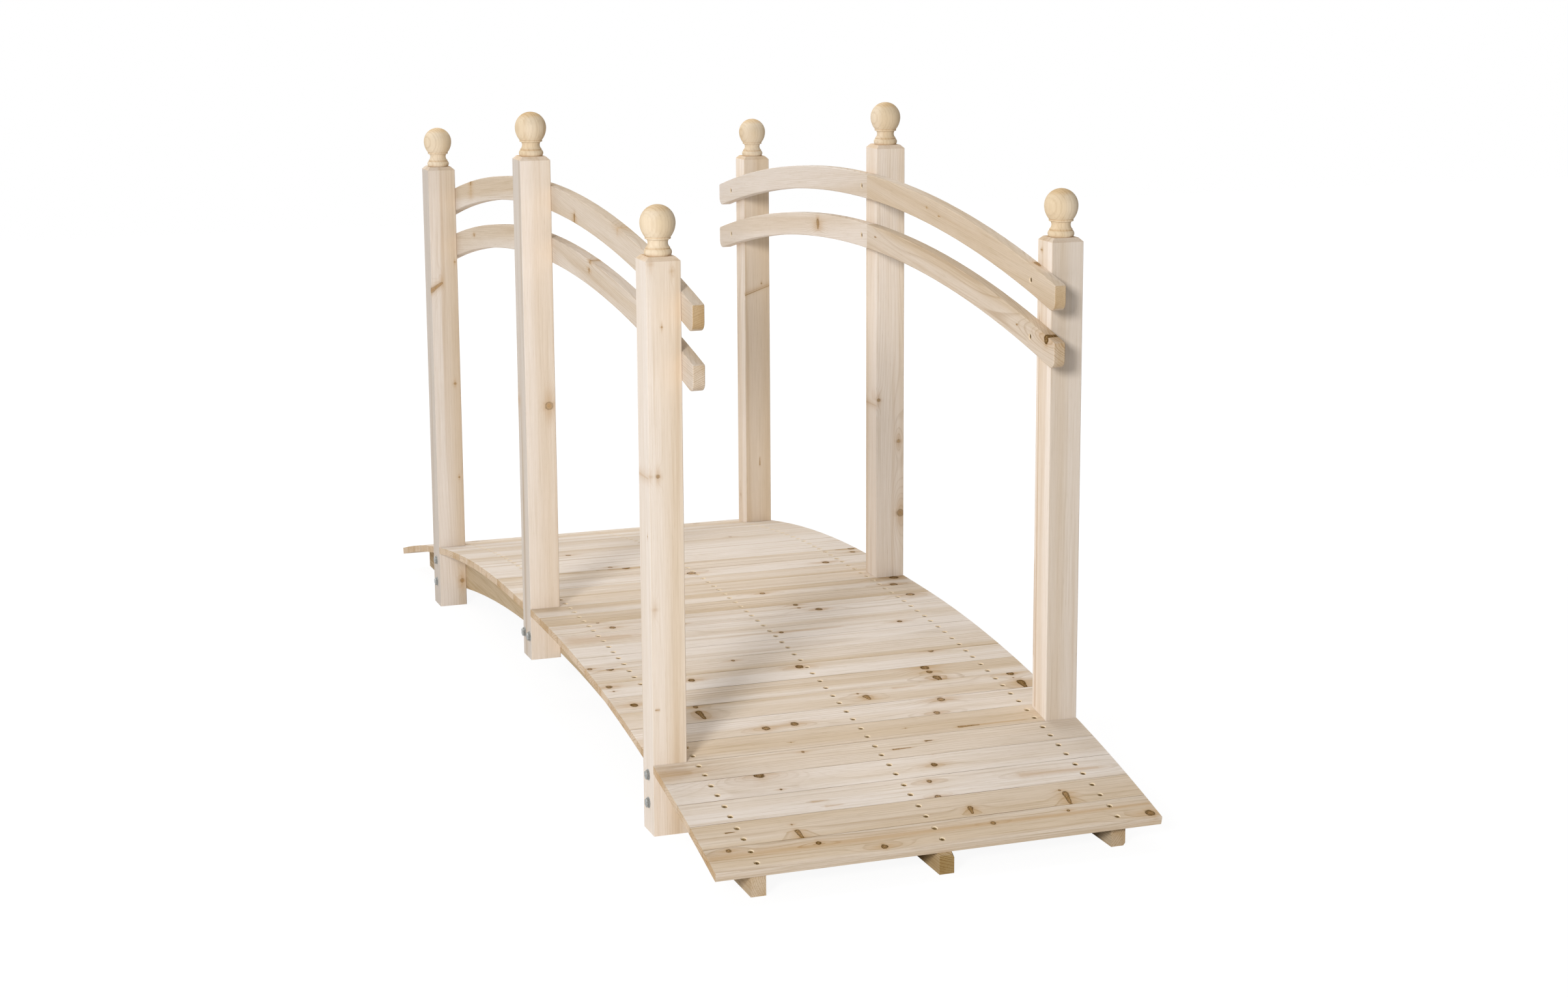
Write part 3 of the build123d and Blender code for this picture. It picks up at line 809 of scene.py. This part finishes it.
def make_timber(name, centre, turn=(0, 0, 0), knots=(), left_face=None, **look):
    """Fir for one timber, whose centre and turn bring its length onto X.

    A knot is its place in the timber, half-length, radius and 1 where it is a soft stain. left_face gives
    the left face its own tone and warmth, painted light and shade for that face, with painted shade on the
    corner."""
    material, build = new_material(name)
    coordinates = build.node("ShaderNodeTexCoord").outputs
    moved = build.vector_math("SUBTRACT", coordinates["Object"], centre)
    grain = build.node("ShaderNodeMapping", {"Vector": moved, "Rotation": turn}).outputs[0]
    normal = build.node("ShaderNodeMapping", {"Vector": coordinates["Normal"], "Rotation": turn}).outputs[0]
    marks, swerve = gathered_knots(build, grain, knots)
    inputs = {key.replace("_", " ").capitalize(): value for key, value in look.items()}
    # Painted light and shade on the left face: a tone and warmth of its own
    if left_face:
        on_left = build.step(build.parts(grain)[1], *(depth - POST_SIDE / 2 for depth in LEFT_FACE_DEPTHS))
        for key, there in zip(("Tone", "Warmth"), left_face):
            inputs[key] = build.math("MULTIPLY_ADD", on_left, there - inputs[key], inputs[key])
        # Painted shade on the corner between the front and left faces, which catches the key light
        cornered = build.vector_math("DOT_PRODUCT", coordinates["Normal"], CORNER)
        shaded = build.step(cornered, *CORNER_EDGE, 1.0, CORNER_PAINTED_SHADE)
        inputs["Tone"] = build.math("MULTIPLY", inputs["Tone"], shaded)
    end = end_mask(build, build.parts(normal)[0])
    fir = build.group(FIR, {"Grain": grain, "Marks": marks, "Bump": swerve, "End": end, **inputs})
    finish_wood(build, fir, fir["Colour"])
    return material


def foot_of(node):
    """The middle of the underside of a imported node."""
    low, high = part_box(node)
    return Vector(((low.x + high.x) / 2, (low.y + high.y) / 2, low.z))


def dress(node, material):
    """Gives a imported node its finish."""
    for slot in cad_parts[node].material_slots:
        slot.link = "OBJECT"
        slot.material = material


# Each post's look, and its knots as face, distance across that face, height and radius, with half-lengths
# across and up for a streak, in millimetres. The front face looks towards the near end and is measured
# from its left edge, the left face from its far edge. A radius below 0 is a soft stain. A knot that isn't
# a streak reaches in from the face, at a slant.
POST_WOOD = {"ring_width": 0.002, "fine": 0.5, "knot_depth": 0.4}
POST_PITHS = ((0.0, 0.05, 0.07), (0.0, -0.04, 0.09), (0.0, 0.11, 0.02))
# Each post's left face gets its own tone and warmth, which paint in the light and shade that face gets
POST_LOOKS = {
    "near_left": dict(tone=1.16, warmth=0.45, rings=0.12, left_face=(1.08, -0.3)),
    "near_right": dict(tone=1.0, warmth=0.7, rings=0.06, left_face=(1.16, 0.25)),
    "middle_left": dict(tone=1.15, warmth=0.5, rings=0.2, left_face=(0.86, -0.3)),
    "middle_right": dict(tone=1.18, warmth=0.62, rings=0.24, ring_width=0.0026, wander=0.04,
                         left_face=(1.16, 0.25)),
    "far_left": dict(tone=1.03, warmth=0.42, rings=0.16, left_face=(0.82, -0.3)),
    "far_right": dict(tone=1.19, warmth=0.83, rings=0.25, left_face=(1.2, 0.1)),
}
KNOT_REACH, KNOT_SLANT = 20.0, 3.0
POST_KNOTS = {
    "near_left": [
        ("front", 13.5, 530, 3), ("front", 2.5, 530, -2.5), ("front", 22, 742, 1.4), ("front", 7, 831, -3.5),
        ("front", 38, 820, -2.5), ("front", 6, 337, -3), ("front", 8, 189, 0.5, 3, 0),
        ("left", 24, 527, -2, 24, 0), ("left", 40, 442, 1.2),
    ],
    "near_right": [
        ("left", 15, 820, 0.9, 3, 0), ("left", 10, 420, -1.5, 0, 300), ("left", 2, 270, -2, 0, 70),
    ],
    "middle_left": [("front", 40, 430, 6.5), ("left", 5, 435, -8)],
    "middle_right": [
        ("front", 4, 402, 3), ("front", 41, 327.5, 3.5), ("front", 45, 200, 6.5),
        ("left", 26, 392, -1.5, 24, 0),
    ],
    "far_left": [
        ("front", 8, 615, 3.5, 12, 8), ("front", 46, 662, 1.5), ("front", 40, 431, 2),
        ("front", 43, 250, 1.5), ("front", 43, 47.5, 4),
    ],
    "far_right": [
        ("front", 21, 577, 0.6, 29, 10), ("front", 21, 580, -1.8, 29, 10), ("front", 34, 592, 1.4),
        ("front", 28, 237, 0.7, 0, 7), ("left", 15, 165, -3),
    ],
}


def post_knot(face, across, height, radius, half_across=0.0, half_up=0.0):
    """A knot on one face of a post, as its place in the timber, half-length, radius and softness."""
    half = POST_SIDE / MM / 2
    if face == "front":
        centre, axis = (height, across - half, -half), (half_up, half_across, 0.0)
    else:
        centre, axis = (height, -half, half - across), (half_up, 0.0, -half_across)
    if not any(axis):
        axis = (KNOT_SLANT, 0.0, KNOT_REACH) if face == "front" else (KNOT_SLANT, KNOT_REACH, 0.0)
    return Vector(centre) * MM, Vector(axis) * MM, abs(radius) * MM, float(radius < 0)


def make_posts():
    for number, (place, look) in enumerate(POST_LOOKS.items()):
        node = f"post_{place}"
        knots = [post_knot(*knot) for knot in POST_KNOTS[place]]
        given = {**POST_WOOD, "seed": number * 3.7, "pith": POST_PITHS[number % len(POST_PITHS)], **look}
        dress(node, make_timber(node, foot_of(node), UPRIGHT, knots, **given))


BOLT_RADIUS = 7.2 * MM
BOLT_HEIGHT = 4.6 * MM
FLANGE_RADIUS = 8.3 * MM
FLANGE_HEIGHT = 1.1 * MM

# Bolts of a post, in millimetres: along the bridge from its middle, and height above the ground
MIDDLE_POST_BOLTS = ((-16.4, 118), (16.4, 118))
END_POST_BOLTS = ((0, 44), (0, 86))


def make_bolt_head():
    """Hexagon head on a round flange, one corner up and one down once it is on a post's side."""
    flange = turned("bolt_flange", [
        (FLANGE_RADIUS, -0.2 * MM), (FLANGE_RADIUS, 0.6 * FLANGE_HEIGHT),
        (0.93 * FLANGE_RADIUS, FLANGE_HEIGHT),
    ], 24)
    head = turned("bolt_head", [
        (BOLT_RADIUS, 0.5 * FLANGE_HEIGHT), (BOLT_RADIUS, 0.82 * BOLT_HEIGHT),
        (0.86 * BOLT_RADIUS, BOLT_HEIGHT),
    ], 6, radians(30))
    shape = bmesh.new()
    for part in (flange, head):
        shape.from_mesh(part.data)
        bpy.data.objects.remove(part)
    return placed_piece("bolt", mesh_of("bolt_head", shape))


def make_bolts(tree):
    """Two hexagon bolts through the foot of each post into the outer stringer."""
    bolt = make_bolt_head()
    for side, outward in (("left", -1), ("right", 1)):
        places = []
        for row in ("near", "middle", "far"):
            low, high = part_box(f"post_{row}_{side}")
            middle, face = (low.x + high.x) / 2, (low.y if outward < 0 else high.y)
            for along, height in MIDDLE_POST_BOLTS if row == "middle" else END_POST_BOLTS:
                places.append(((middle + along * MM, face, height * MM), (0, outward, 0)))
        bolts = grown(f"bolts_{side}", tree, {"Fixing": bolt, "Material": WHITE_ZINC}, fixing_points(places))
        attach(bolts, "root")
    bpy.data.objects.remove(bolt)


# Rails: height of the top edge at the middle, lean of the timber that each half is cut from, the inner
# faces, which hold the screws, the faces that look to the left, and where the screws are
RAIL_CREST = {"upper": 871 * MM, "lower": 786.5 * MM}
RAIL_LEAN = {"near": radians(-6.6), "far": radians(6.6)}
INNER_FACES = {"right": 266 * MM, "left": -266 * MM}
LEFT_FACES = {"right": 266 * MM, "left": -284 * MM}
RAIL_SCREW_X = {"near": (699 * MM,), "far": (0.0, -712 * MM)}
RAIL_SCREW_DEPTH = 21.5 * MM

# Knots of the rails, in millimetres: along the bridge, depth under the top edge, radius, half-lengths along
# and down for a streak, and how far in from the left face. A radius below 0 is a soft stain.
RAIL_KNOTS = {
    "upper_right_near": [(345, 20, 0.8, 3, 0), (293, 16, 1.4), (697, 0, 3, 7, 0, 13)],
    "lower_right_near": [(757, 4, 7.5), (757, 4, -9), (652, 20, 0.7, 2, 0), (66, 17, 0.8, 3, 0)],
    "lower_right_far": [(-218, 21, 5.5, 0, 4)],
    "upper_left_near": [(168, 34, 3.5, 0, 4), (415, 2, -6)],
    "upper_left_far": [(-556, 2, 4.5, 0, 3), (-556, 15, -5, 0, 12)],
    "lower_left_near": [(250, 16, 3), (256, 2, 3)],
    "lower_left_far": [(-539, 14, 3)],
}
RAIL_WOOD = {
    "warmth": 0.5, "rings": 0.25, "pith": (0.0, 0.03, -0.09), "fine": 0.6, "knot_depth": 0.55, "tone": 0.98,
}
RAIL_LOOKS = {
    "lower_right_near": dict(warmth=0.88, rings=0.45, knot_depth=1.0, ring_width=0.0055, wander=0.05,
                             pith=(0.0, 0.05, 0.01), end_tint=(0.9, 0.85, 0.77, 1.0)),
    "upper_left_near": dict(warmth=0.9, end_tint=(0.8, 0.67, 0.47, 1.0)),
    "lower_left_near": dict(warmth=0.7, rings=0.35, end_tint=(0.93, 0.87, 0.78, 1.0)),
    "upper_right_near": dict(warmth=0.58, tone=1.01, rings=0.3, end_tint=(0.88, 0.8, 0.66, 1.0)),
    "upper_right_far": dict(warmth=0.32),
    "lower_right_far": dict(warmth=0.14, tone=1.02),
}


def rail_place(level, x, y, depth):
    """The point at X and Y and this far under the top edge of a rail."""
    return Vector((x, y, RAIL_CREST[level] - RAIL_RADIUS + sqrt((RAIL_RADIUS - depth) ** 2 - x * x)))


def rail_knot(level, side, centre, to_timber, x, depth, radius, half_along=0.0, half_down=0.0, inside=0.0):
    """A knot on the left face of a rail, as its place in the timber, half-length, radius and softness."""
    place = rail_place(level, x * MM, LEFT_FACES[side] + inside * MM, depth * MM)
    axis = Vector((half_along, 0.0, -half_down))
    if not any(axis):
        axis = Vector((0.0, KNOT_REACH, 1.0))
    return to_timber @ (place - centre), to_timber @ axis * MM, abs(radius) * MM, float(radius < 0)


def make_rails(tree, countersink, head):
    rails = product(("upper", "lower"), ("left", "right"), ("near", "far"))
    for number, (level, side, end) in enumerate(rails):
        key = f"{level}_{side}_{end}"
        node = f"rail_{key}"
        low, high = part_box(node)
        centre = (low + high) / 2
        turn = (0.0, RAIL_LEAN[end], 0.0)
        to_timber = Euler(turn).to_matrix()
        knots = [rail_knot(level, side, centre, to_timber, *knot) for knot in RAIL_KNOTS.get(key, [])]
        look = {"seed": 20 + number * 2.3, **RAIL_WOOD, **RAIL_LOOKS.get(key, {})}
        facing = (0, -1 if side == "right" else 1, 0)
        spots = [rail_place(level, x, INNER_FACES[side], RAIL_SCREW_DEPTH) for x in RAIL_SCREW_X[end]]
        places = [(spot, facing) for spot in spots]
        cutter = grown("cutter", tree, {"Fixing": countersink, "Material": HOLE_WOOD}, fixing_points(places))
        drilled(node, cutter, make_timber(node, centre, turn, knots, **look))
        sunk = {"Fixing": head, "Sink": HEAD_SINK, "Loose turn": pi, "Seed": number, "Material": YELLOW_ZINC}
        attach(grown("screws_" + node, tree, sunk, fixing_points(places)), "root")


STRINGER_WOOD = {"warmth": 0.9, "rings": 0.4, "ring_width": 0.0028, "tint": (1.0, 0.94, 0.8, 1.0)}
STRINGER_LOOKS = {
    "left": dict(tone=0.86, end_tint=(1.05, 1.04, 1.06, 1.0), pith=(0.0, 0.12, -0.02)),
    "middle": dict(tone=0.84, tint=(0.94, 0.84, 0.62, 1.0), end_tint=(0.72, 0.66, 0.5, 1.0),
                   pith=(0.0, 0.03, 0.03), ring_width=0.004, rings=0.7),
    "right": dict(tone=0.85, end_tint=(0.95, 0.92, 0.9, 1.0), pith=(0.0, -0.1, 0.01)),
}


def make_stringers():
    for number, (side, look) in enumerate(STRINGER_LOOKS.items()):
        node = f"stringer_{side}"
        low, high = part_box(node)
        dress(node, make_timber(node, (low + high) / 2, seed=50.0 + number, **{**STRINGER_WOOD, **look}))


FINIAL_WOOD = {
    "warmth": 1.0, "rings": 0.26, "ring_width": 0.0045, "tone": 1.14, "pith": (0.0, 0.07, 0.02), "fine": 0.4,
    "tint": (1.03, 1.02, 0.95, 1.0), "end_tint": (0.92, 0.84, 0.72, 1.0),
}


def make_finials():
    for number, (row, side) in enumerate(product(("near", "middle", "far"), ("left", "right"))):
        node = f"finial_{row}_{side}"
        dress(node, make_timber(node, foot_of(node), UPRIGHT, seed=70.0 + number, **FINIAL_WOOD))


# Stage

AMBIENT = 0.27
FLOOR_HALF = 7.0
FLOOR_COLOUR = (0.8, 0.79, 0.78, 1.0)
FLOOR_GLOW = 1.08

# The floor's shadow fades out between these distances, with this share of glow at each
SHADOW_FADE = (1.5, 3.2, 0.86, 1.0)

# Soft boxes: azimuth from +X towards +Y and elevation as seen from the target, in degrees, then distance,
# size and watts
LIGHT_TARGET = Vector((0.0, 0.0, 0.4))
LIGHTS = {
    "key": (-37.5, 20, 8, 1.85, 385),
    "top_behind": (180, 55, 5, 3, 90),
    "left_behind": (-130, 40, 5, 3, 62),
    "right_behind": (130, 40, 5, 3, 46),
}

# The camera: how far it looks down and is turned, in degrees, its lens in millimetres and its shift
CAMERA_PLACE = (4.37919, -1.40858, 1.32176)
CAMERA_PITCH, CAMERA_TURN = 11.17, 69.15
CAMERA_LENS = 63.18
CAMERA_SHIFT = (-0.0471, -0.0330)


def camera_sight(build):
    """1 for what the camera sees itself or in a shiny surface, and the other kinds of ray."""
    sight = build.node("ShaderNodeLightPath").outputs
    return build.math("MAXIMUM", sight["Is Camera Ray"], sight["Is Glossy Ray"]), sight


def make_floor():
    """White floor that bounces light and keeps a faint shadow."""
    mesh = bpy.data.meshes.new("floor")
    corners = [(-1, -1), (1, -1), (1, 1), (-1, 1)]
    mesh.from_pydata([(x * FLOOR_HALF, y * FLOOR_HALF, 0) for x, y in corners], [], [(0, 1, 2, 3)])
    floor = placed_piece("floor", mesh)
    material, build = new_material("floor_white")
    seen, _ = camera_sight(build)
    matt = build.node("ShaderNodeBsdfDiffuse", {"Color": FLOOR_COLOUR}).outputs[0]
    glow = build.node("ShaderNodeEmission", {"Color": WHITE, "Strength": FLOOR_GLOW}).outputs[0]
    reach = build.vector_math("LENGTH", build.node("ShaderNodeTexCoord").outputs["Object"])
    share = build.math("MULTIPLY", seen, build.step(reach, *SHADOW_FADE))
    both = build.node("ShaderNodeMixShader", (share, matt, glow)).outputs[0]
    build.node("ShaderNodeOutputMaterial", (both,))
    mesh.materials.append(material)


def make_sky():
    """A background that is white to the camera and dimmer as light."""
    world = bpy.data.worlds.new("studio")
    bpy.context.scene.world = world
    world.use_nodes = True
    world.node_tree.nodes.clear()
    build = Tree(world.node_tree)
    seen, sight = camera_sight(build)
    seen = build.math("MAXIMUM", seen, sight["Is Transmission Ray"])
    strength = build.math("MULTIPLY_ADD", seen, 1.0 - AMBIENT, AMBIENT)
    sky = build.node("ShaderNodeBackground", {"Color": WHITE, "Strength": strength}).outputs[0]
    build.node("ShaderNodeOutputWorld", (sky,))


def make_light(name, azimuth, elevation, distance, size, watts):
    data = bpy.data.lights.new(name, "AREA")
    data.shape = "DISK"
    data.size = size
    data.energy = watts
    lamp = placed_piece(name, data)
    a, e = radians(azimuth), radians(elevation)
    away = Vector((cos(a) * cos(e), sin(a) * cos(e), sin(e)))
    lamp.location = LIGHT_TARGET + away * distance
    lamp.rotation_euler = away.to_track_quat("Z", "Y").to_euler()


def make_camera():
    data = bpy.data.cameras.new("camera")
    data.sensor_width = 36.0
    data.lens = CAMERA_LENS
    data.shift_x, data.shift_y = CAMERA_SHIFT
    data.clip_end = 200.0
    camera = placed_piece("camera", data)
    camera.location = CAMERA_PLACE
    camera.rotation_euler = (radians(90 - CAMERA_PITCH), 0.0, radians(CAMERA_TURN))
    bpy.context.scene.camera = camera


make_camera()
make_floor()
make_sky()
for light, values in LIGHTS.items():
    make_light(light, *values)

hole, screw = make_countersink(), make_screw_head()
fixings = make_fixings_tree()
make_deck(hole, screw)
make_posts()
make_bolts(fixings)
make_rails(fixings, hole, screw)
make_stringers()
make_finials()
for tool in (hole, screw):
    bpy.data.objects.remove(tool)

bpy.context.scene.view_settings.view_transform = "Standard"
